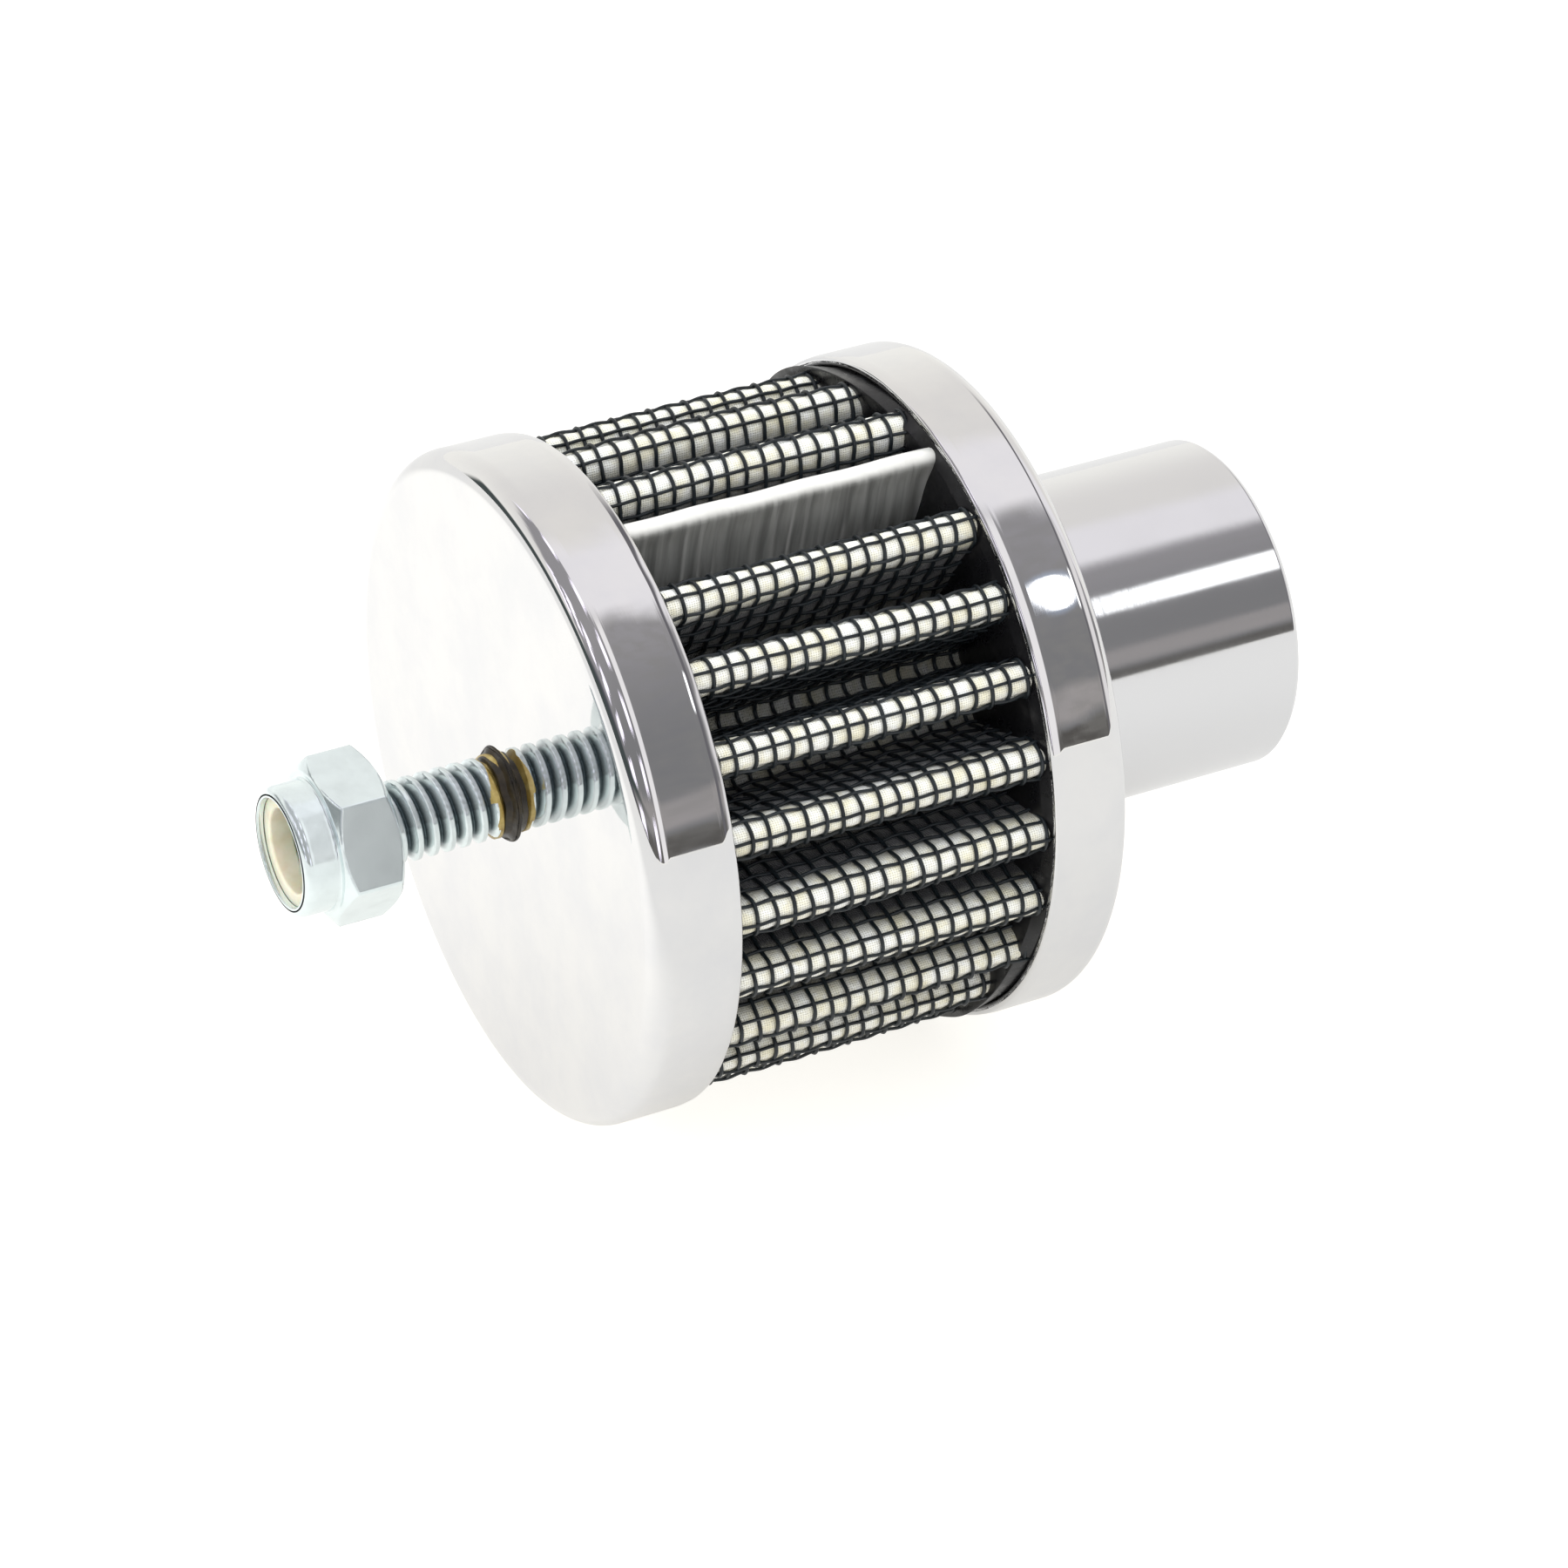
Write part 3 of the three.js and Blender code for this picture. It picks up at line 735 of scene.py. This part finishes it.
def hoop_wires(depth, per_cell):
    """Wires that follow the pleats round the filter, each swung over and under the axial ones."""
    total = MID_LENGTH[-1]
    s = np.linspace(0, total, WIRES_PER_PLEAT * PLEAT_COUNT * per_cell + 1)
    wires = []
    count = int((PLEAT_END - PLEAT_START) / HOOP_PITCH)
    first = (PLEAT_START + PLEAT_END - (count - 1) * HOOP_PITCH) / 2
    for i in range(count):
        swing = WIRE_SWING * np.cos(np.pi * (s / WIRE_PITCH - 0.5 * WIRES_PER_PLEAT)) * (-1) ** i
        point, normal = along_pleats(s, depth - swing)
        x = first + i * HOOP_PITCH + 0.06 * np.sin(s / 5.3 + i * 1.7) + 0.02 * np.sin(s / 1.9 + i)
        centre = np.column_stack([x, point])
        up = np.column_stack([np.zeros(len(s)), normal])
        side = np.tile([1.0, 0, 0], (len(s), 1))
        wires.append((centre, side, up, WIRE_RADIUS))
    return wires, first


def axial_wires(depth, per_cell, first):
    steps = int((PLEAT_END - PLEAT_START) / HOOP_PITCH * per_cell)
    x = np.linspace(PLEAT_START, PLEAT_END, steps + 1)
    wires = []
    for j in range(WIRES_PER_PLEAT * PLEAT_COUNT):
        s = (j + 0.5 * (WIRES_PER_PLEAT % 2)) * WIRE_PITCH
        s = s + 0.09 * math.sin(j * 2.1) + 0.05 * np.sin(x / 4 + j * 0.8)
        swing = -WIRE_SWING * (-1) ** j * np.cos(np.pi * (x - first) / HOOP_PITCH)
        point, normal = along_pleats(s, depth - swing)
        centre = np.column_stack([x, point])
        up = np.column_stack([np.zeros(len(x)), normal])
        side = np.column_stack([np.zeros(len(x)), -normal[:, 1], normal[:, 0]])
        wires.append((centre, side, up, AXIAL_WIRE_RADIUS))
    return wires


def wire_cloth(coat):
    mid = SCREEN_THICKNESS / 2
    hoops, first = hoop_wires(mid, 7)
    axials = axial_wires(mid, 6, first)
    for label, wires in (("hoop_wires", hoops), ("axial_wires", axials)):
        share = math.ceil(len(wires) / WIRE_PIECES)
        for k in range(WIRE_PIECES):
            name = f"{label}_{k + 1}"
            mesh = tube_mesh(name, wires[k * share:(k + 1) * share], 6)
            piece = make_object(name, mesh, coat, "housing")
            if name == "hoop_wires_1":
                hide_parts("outer_screen")
    mid = LAYER_DEPTH[PLY_COUNT] + SCREEN_THICKNESS / 2
    hoops, first = hoop_wires(mid, 3)
    axials = axial_wires(mid, 2, first)
    for label, wires in (("inner_hoop_wires", hoops), ("inner_axial_wires", axials)):
        piece = make_object(label, tube_mesh(label, wires, 4), coat, "housing")
        if label == "inner_hoop_wires":
            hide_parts("inner_screen")


def gauze_sheet(ply, gauze, per_cell, bulge):
    """One closed pleated ply; the outer one bulges a little through the cells of the wire cloth."""
    name = f"gauze_sheet_{ply}"
    top = LAYER_DEPTH[ply - 1] + 0.02
    s = np.linspace(0, MID_LENGTH[-1], WIRES_PER_PLEAT * PLEAT_COUNT * per_cell + 1)
    cells = int((PLEAT_END - PLEAT_START) / HOOP_PITCH)
    x = np.linspace(PLEAT_START, PLEAT_END, cells * per_cell + 1)
    first = (PLEAT_START + PLEAT_END - (cells - 1) * HOOP_PITCH) / 2
    across = np.abs(np.sin(np.pi * (s / WIRE_PITCH - 0.5 * (WIRES_PER_PLEAT % 2))))[:, None]
    along = np.abs(np.sin(np.pi * (x - first) / HOOP_PITCH))[None, :]
    depth = top - bulge * (across * along) ** 0.7
    layers = []
    grid_s = np.repeat(s[:, None], len(x), 1)
    for below in (depth, np.full_like(depth, top) + PLY_THICKNESS):
        point, _ = along_pleats(grid_s, below)
        grid_x = np.broadcast_to(x[None, :, None], point.shape[:2] + (1,))
        layers.append(np.concatenate([grid_x, point], -1))
    rows = settle(np.concatenate([layers[0], layers[1][:, ::-1]], 1))
    mesh = skin(name, rows)
    flat = np.zeros(rows.shape)
    flat[..., 0] = s[:, None] * MM
    flat[..., 1] = rows[..., 0] * MM
    # The third value, the distance from the axis, sets where the gauze material paints shade into the
    # valleys.
    flat[..., 2] = np.hypot(rows[..., 1], rows[..., 2]) * MM
    attribute = mesh.attributes.new("flat", "FLOAT_VECTOR", "POINT")
    attribute.data.foreach_set("vector", flat.astype(np.float32).ravel())
    piece = make_object(name, mesh, gauze, "housing")
    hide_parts(f"gauze_ply_{ply}")


# ---- Seam clip ----

def seam_clip(metal):
    half = CLIP_WIDTH / 2
    back = CLIP_TOP_RADIUS - half
    outer = [(CLIP_FOOT_RADIUS, -half)]
    outer += [(r, -half) for r in np.linspace(CLIP_FOOT_RADIUS + 0.3, back, 22)]
    outer += [(back + half * math.sin(t), -half * math.cos(t)) for t in np.linspace(0, math.pi, 20)[1:-1]]
    outer += [(r, half) for r in np.linspace(back, CLIP_FOOT_RADIUS + 0.3, 22)]
    outer += [(CLIP_FOOT_RADIUS, half)]
    outer = np.array(outer)
    inner = outer.copy()
    share = (half - CLIP_WALL) / half
    inner[:, 1] *= share
    inner[:, 0] = np.where(outer[:, 0] > back, back + (outer[:, 0] - back) * share, outer[:, 0])
    rows = []
    cos, sin = math.cos(math.radians(CLIP_ANGLE)), math.sin(math.radians(CLIP_ANGLE))
    for x in np.arange(PLEAT_START, PLEAT_END, 0.09):
        press = 0.5 - 0.5 * math.cos(2 * math.pi * (x + 0.25 * math.sin(x * 0.9)) / CRIMP_PITCH)
        press *= 0.8 + 0.2 * math.sin(x * 2.3)
        section = []
        for ring in (outer, inner[::-1]):
            r, t = ring[:, 0], ring[:, 1]
            deep = np.clip((back + 0.35 - r) / 1.4, 0, 1)
            t = t - np.sign(t) * (0.05 + CRIMP_DEPTH * press) * deep
            t = t + 0.05 * math.sin(x * 0.8) + 0.12 * np.sin(r * 0.9 + x * 0.3) * (24 - r) / 8
            section.append(np.stack([r, t], -1))
        section = np.concatenate(section)
        y = section[:, 0] * cos - section[:, 1] * sin
        z = section[:, 0] * sin + section[:, 1] * cos
        rows.append(np.stack([np.full(len(y), x), y, z], -1))
    mesh = orient(skin("seam_clip_formed", rows))
    mesh.set_sharp_from_angle(angle=math.radians(55))
    piece = make_object("seam_clip_formed", mesh, metal, "housing")
    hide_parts("seam_clip")


# ---- Potting ----

def front_potting(rubber):
    head = HEX_CORNER_RADIUS + 0.05
    profile = fillet([
        (CAP_SHEET + 0.05, 8.3, 0),
        (CAP_SHEET + 0.05, POTTING_RADIUS - 0.6, 0.4),
        (CAP_SHEET + 1.2, POTTING_RADIUS, 0.3),
        (FRONT_POTTING_END, POTTING_RADIUS, 0.2),
        (FRONT_POTTING_END - 0.25, POTTING_RADIUS - 1.2, 0.6),
        (FRONT_POTTING_END - 0.2, head + 2, 0.6),
        (FRONT_POTTING_END, head, 0.05),
        (CAP_SHEET + 1.8, head, 0.05),
        (CAP_SHEET + 1.8, 8.3, 0.05),
    ])
    mesh = orient(skin("front_potting_cast", turn_rows(profile, 240), True))
    piece = make_object("front_potting_cast", mesh, rubber, "housing")
    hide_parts("front_potting")


def rear_potting(rubber):
    end = BODY_LENGTH - CAP_SHEET - 0.05
    profile = fillet([
        (REAR_POTTING_START + 0.7, POTTING_INNER_RADIUS, 0.3),
        (REAR_POTTING_START + 0.5, POTTING_INNER_RADIUS + 1.5, 0.6),
        (REAR_CAP_START - 0.5, 21.5, 0.6),
        (REAR_CAP_START - 0.2, 23.5, 0.3),
        (REAR_CAP_START + 0.2, POTTING_RADIUS, 0.1),
        (end - 1.0, POTTING_RADIUS, 0.2),
        (end, POTTING_RADIUS - 1.0, 0.2),
        (end, NECK_FLANGE_RADIUS + 0.05, 0.05),
        (NECK_START - 0.1, NECK_FLANGE_RADIUS + 0.05, 0.05),
        (NECK_START - 0.1, POTTING_INNER_RADIUS, 0.3),
    ])

    def creep(x, r, angle):
        near = np.clip((REAR_CAP_START + 0.2 - x) / 0.4, 0, 1) * np.clip((r - 21) / 2, 0, 1)
        high = np.clip(-0.1 - 1.1 * np.cos(2 * (angle - math.radians(150))), 0, 1)
        rough = ripple(angle, 31, (7, 12, 19, 28))
        return x - near * (0.15 * rough + 1.5 * high), r + near * (1.5 * high + 0.1 * rough)

    mesh = orient(skin("rear_potting_cast", turn_rows(profile, 360, creep), True))
    piece = make_object("rear_potting_cast", mesh, rubber, "housing")
    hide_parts("rear_potting")


# ---- Studio ----

CAMERA_AZIMUTH = -27.34
CAMERA_ELEVATION = 32.25
CAMERA_DISTANCE = 0.4169
CAMERA_AIM = (-0.00284, -0.00889, 0.02578)
CAMERA_LENS = 131.9
FLOOR_HALF_WIDTH = 4.0
SPOT_X = 0.4375
SPOT_HALF_WIDTH = 0.0036
SPOT_ANGLE = 129
SPOT_HALF_ANGLE = 6.0


def camera():
    azimuth, elevation = math.radians(CAMERA_AZIMUTH), math.radians(CAMERA_ELEVATION)
    back = Vector((
        math.sin(azimuth) * math.cos(elevation),
        -math.cos(azimuth) * math.cos(elevation),
        math.sin(elevation),
    ))
    data = bpy.data.cameras.new("camera")
    data.sensor_width = 36
    data.lens = CAMERA_LENS
    seen = bpy.data.objects.new("camera", data)
    bpy.context.scene.collection.objects.link(seen)
    seen.location = Vector(CAMERA_AIM) + back * CAMERA_DISTANCE
    seen.rotation_mode = "QUATERNION"
    seen.rotation_quaternion = (-back).to_track_quat("-Z", "Y")
    bpy.context.scene.camera = seen


def floor():
    mesh = bpy.data.meshes.new("floor")
    size = FLOOR_HALF_WIDTH
    corners = [(-size, -size, 0), (size, -size, 0), (size, size, 0), (-size, size, 0)]
    mesh.from_pydata(corners, [], [(0, 1, 2, 3)])
    material, tree, shader = new_material("floor_paper", (0.32, 0.318, 0.31), Roughness=0.9)
    shader.inputs["Emission Color"].default_value = (1, 0.98, 0.93, 1)
    # Painted light: a pool of glow, strongest within about 5 cm of the filter and fading out by 13 cm,
    # fills in its shadow on the floor. Camera rays see the whole floor evenly brighter.
    links = {"Vector": object_vector(tree), "Location": (0.055, -0.05, 0)}
    place = node(tree, "ShaderNodeMapping", links).outputs[0]
    away = node(tree, "ShaderNodeVectorMath", {0: place}, operation="LENGTH").outputs["Value"]
    near = ramp_of(tree, away, 0.05, 0.13, 0.66, 0.4)
    plain = math_of(tree, "MULTIPLY", node(tree, "ShaderNodeLightPath").outputs["Is Camera Ray"], 0.3)
    tree.links.new(math_of(tree, "ADD", near, plain), shader.inputs["Emission Strength"])
    mesh.materials.append(material)
    made = bpy.data.objects.new("floor", mesh)
    bpy.context.scene.collection.objects.link(made)


def strip(tree, value, a, b, c, d):
    """1 from b to c, falling softly to 0 at a and d."""
    return math_of(tree, "MULTIPLY", ramp_of(tree, value, a, b), ramp_of(tree, value, d, c))


def tent_walls(tree, direction, d, around):
    """White cloth and an unevenly grey side: the colour, where it is grey, and the uneven angle."""
    stretched = node(tree, "ShaderNodeMapping", {"Vector": direction, "Scale": (90, 2.5, 2.5)}).outputs[0]
    blur = math_of(tree, "SUBTRACT", noise_of(tree, stretched, 1.0, 2.0), 0.5)
    uneven = math_of(tree, "ADD", around, math_of(tree, "MULTIPLY", blur, 16))

    front = ramp_of(tree, d["X"], -0.1, -0.3)
    upper = ramp_of(tree, math_of(tree, "ADD", uneven, math_of(tree, "MULTIPLY", front, 55)), 94, 104)
    level = math_of(tree, "ABSOLUTE", math_of(tree, "SUBTRACT", around, 90))
    grey = math_of(tree, "MULTIPLY", upper, ramp_of(tree, level, 97, 91))
    cloth = mix_color(tree, ramp_of(tree, uneven, 0, 50), (1.0, 0.99, 0.95), (0.84, 0.82, 0.8))
    cloth = mix_color(tree, ramp_of(tree, uneven, 62, 74), cloth, (0.92, 0.9, 0.93))
    side = mix_color(tree, ramp_of(tree, uneven, 95, 150), (0.36, 0.35, 0.37), (0.22, 0.22, 0.23))
    side = mix_color(tree, strip(tree, uneven, 158, 162, 169, 173), side, (0.38, 0.36, 0.36))
    side = mix_color(tree, strip(tree, uneven, 172, 175, 181, 183), side, (0.1, 0.095, 0.09))
    fine = node(tree, "ShaderNodeMapping", {"Vector": direction, "Scale": (400, 14, 14)}).outputs[0]
    mottle = ramp_of(tree, noise_of(tree, fine, 1.0, 3.0, 0.6), 0.35, 0.65, 0.0, 0.45)
    side = mix_color(tree, mottle, side, (0.27, 0.265, 0.255))
    return mix_color(tree, grey, cloth, side), grey, uneven


def beyond_the_neck(tree, gloss, d, around, grey):
    """The dark gap and the pale cloth that only the neck's far end faces."""
    gap = strip(tree, d["X"], 0.5, 0.52, 0.58, 0.62)
    gap = math_of(tree, "MULTIPLY", gap, ramp_of(tree, around, 30, 60))
    gloss = mix_color(tree, gap, gloss, (0.16, 0.155, 0.17))
    pale = math_of(tree, "MULTIPLY", strip(tree, d["X"], 0.62, 0.68, 0.9, 0.95), grey)
    return mix_color(tree, pale, gloss, (0.85, 0.83, 0.84))


def before_the_front_cap(tree, gloss, d, around, grey, uneven):
    """Broken lamps, dark edges low down and a pale strip, seen in the corners of the caps."""
    broken = ramp_of(tree, math_of(tree, "SINE", math_of(tree, "MULTIPLY", uneven, 0.3)), -0.3, 0.2)
    for first, last in ((-0.88, -0.78), (-0.3, -0.14)):
        lamp = strip(tree, d["X"], first - 0.03, first, last, last + 0.03)
        lamp = math_of(tree, "MULTIPLY", math_of(tree, "MULTIPLY", lamp, grey), broken)
        gloss = mix_color(tree, lamp, gloss, (1.5, 1.42, 1.65))
    gloss = mix_color(tree, ramp_of(tree, d["X"], -0.93, -0.97), gloss, (0.1, 0.1, 0.12))
    low = strip(tree, d["Z"], -0.1, 0.0, 0.17, 0.24)
    low = math_of(tree, "MULTIPLY", low, ramp_of(tree, d["X"], -0.4, -0.5))
    low = math_of(tree, "MULTIPLY", low, ramp_of(tree, around, 172, 160))
    gloss = mix_color(tree, low, gloss, (0.07, 0.085, 0.085))
    roll = math_of(tree, "MULTIPLY", strip(tree, d["X"], 0.0, 0.04, 0.26, 0.31), grey)
    return mix_color(tree, roll, gloss, (0.96, 0.94, 0.95))


def lamps_above(tree, gloss, d, around):
    """A round lamp that shines on the rear cap, and a long one that shines along the neck."""
    off_x = math_of(tree, "MULTIPLY", math_of(tree, "SUBTRACT", d["X"], SPOT_X), 1 / SPOT_HALF_WIDTH)
    off_turn = math_of(tree, "SUBTRACT", around, SPOT_ANGLE)
    off_turn = math_of(tree, "MULTIPLY", off_turn, 1 / SPOT_HALF_ANGLE)
    off = node(tree, "ShaderNodeCombineXYZ", {"X": off_x, "Y": off_turn}).outputs[0]
    spread = node(tree, "ShaderNodeVectorMath", {0: off}, operation="LENGTH").outputs["Value"]
    gloss = mix_color(tree, ramp_of(tree, spread, 1.42, 1.0, 0.0, 0.4), gloss, (0.6, 0.72, 0.95))
    gloss = mix_color(tree, ramp_of(tree, spread, 1.07, 0.92), gloss, (2.4, 2.44, 2.5))
    tube = strip(tree, d["X"], 0.4425, 0.444, 0.5, 0.52)
    tube = math_of(tree, "MULTIPLY", tube, strip(tree, around, 121, 124, 134, 137))
    return mix_color(tree, tube, gloss, (2.0, 2.02, 2.04))


def studio():
    """A white tent: the camera sees plain white, and metal also sees its grey open side."""
    world = bpy.data.worlds.new("studio")
    bpy.context.scene.world = world
    world.use_nodes = True
    tree = world.node_tree
    tree.nodes.clear()
    direction = node(tree, "ShaderNodeTexCoord").outputs["Generated"]
    d = node(tree, "ShaderNodeSeparateXYZ", {"Vector": direction}).outputs
    around = math_of(tree, "MULTIPLY", math_of(tree, "ARCTAN2", d["Z"], d["Y"]), 180 / math.pi)
    gloss, grey, uneven = tent_walls(tree, direction, d, around)
    gloss = beyond_the_neck(tree, gloss, d, around, grey)
    gloss = before_the_front_cap(tree, gloss, d, around, grey, uneven)
    gloss = lamps_above(tree, gloss, d, around)

    top = ramp_of(tree, d["Z"], -0.2, 0.9)
    soft = mix_color(tree, top, (1.12, 1.08, 1.0), (1.86, 1.92, 2.02))
    path = node(tree, "ShaderNodeLightPath").outputs
    seen = mix_color(tree, path["Is Diffuse Ray"], gloss, soft)
    seen = mix_color(tree, path["Is Camera Ray"], seen, (1, 1, 1))
    shade = node(tree, "ShaderNodeBackground", {"Color": seen, "Strength": 1.0})
    node(tree, "ShaderNodeOutputWorld", {"Surface": shade.outputs[0]})

    view = bpy.context.scene.view_settings
    view.view_transform = "Standard"
    view.look = "None"


camera()
floor()
studio()

chrome = chrome_material()
aluminium = aluminium_material()
zinc = zinc_material("zinc_steel", (0.82, 0.9, 0.9), 0.14)
coat = wire_material()
gauze = gauze_material()
rubber = potting_material()
dark_sealant = sealant_material("sealant_dark", (0.012, 0.008, 0.003), (0.035, 0.024, 0.008), 0.0)
amber_sealant = sealant_material("sealant_amber", (0.5, 0.33, 0.07), (0.8, 0.62, 0.22), 0.45)

front_cap(chrome)
rear_cap(chrome)
neck(aluminium)
threaded_stud(zinc)
sealant(dark_sealant, amber_sealant)
lock_nut(zinc)
nylon_ring(nylon_material())
wire_cloth(coat)
gauze_sheet(1, gauze, 4, GAUZE_BULGE)
for ply in range(2, PLY_COUNT + 1):
    gauze_sheet(ply, gauze, 2, 0.0)
seam_clip(clip_material())
front_potting(rubber)
rear_potting(rubber)
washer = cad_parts["stud_washer"]
washer.data.materials.clear()
washer.data.materials.append(zinc)
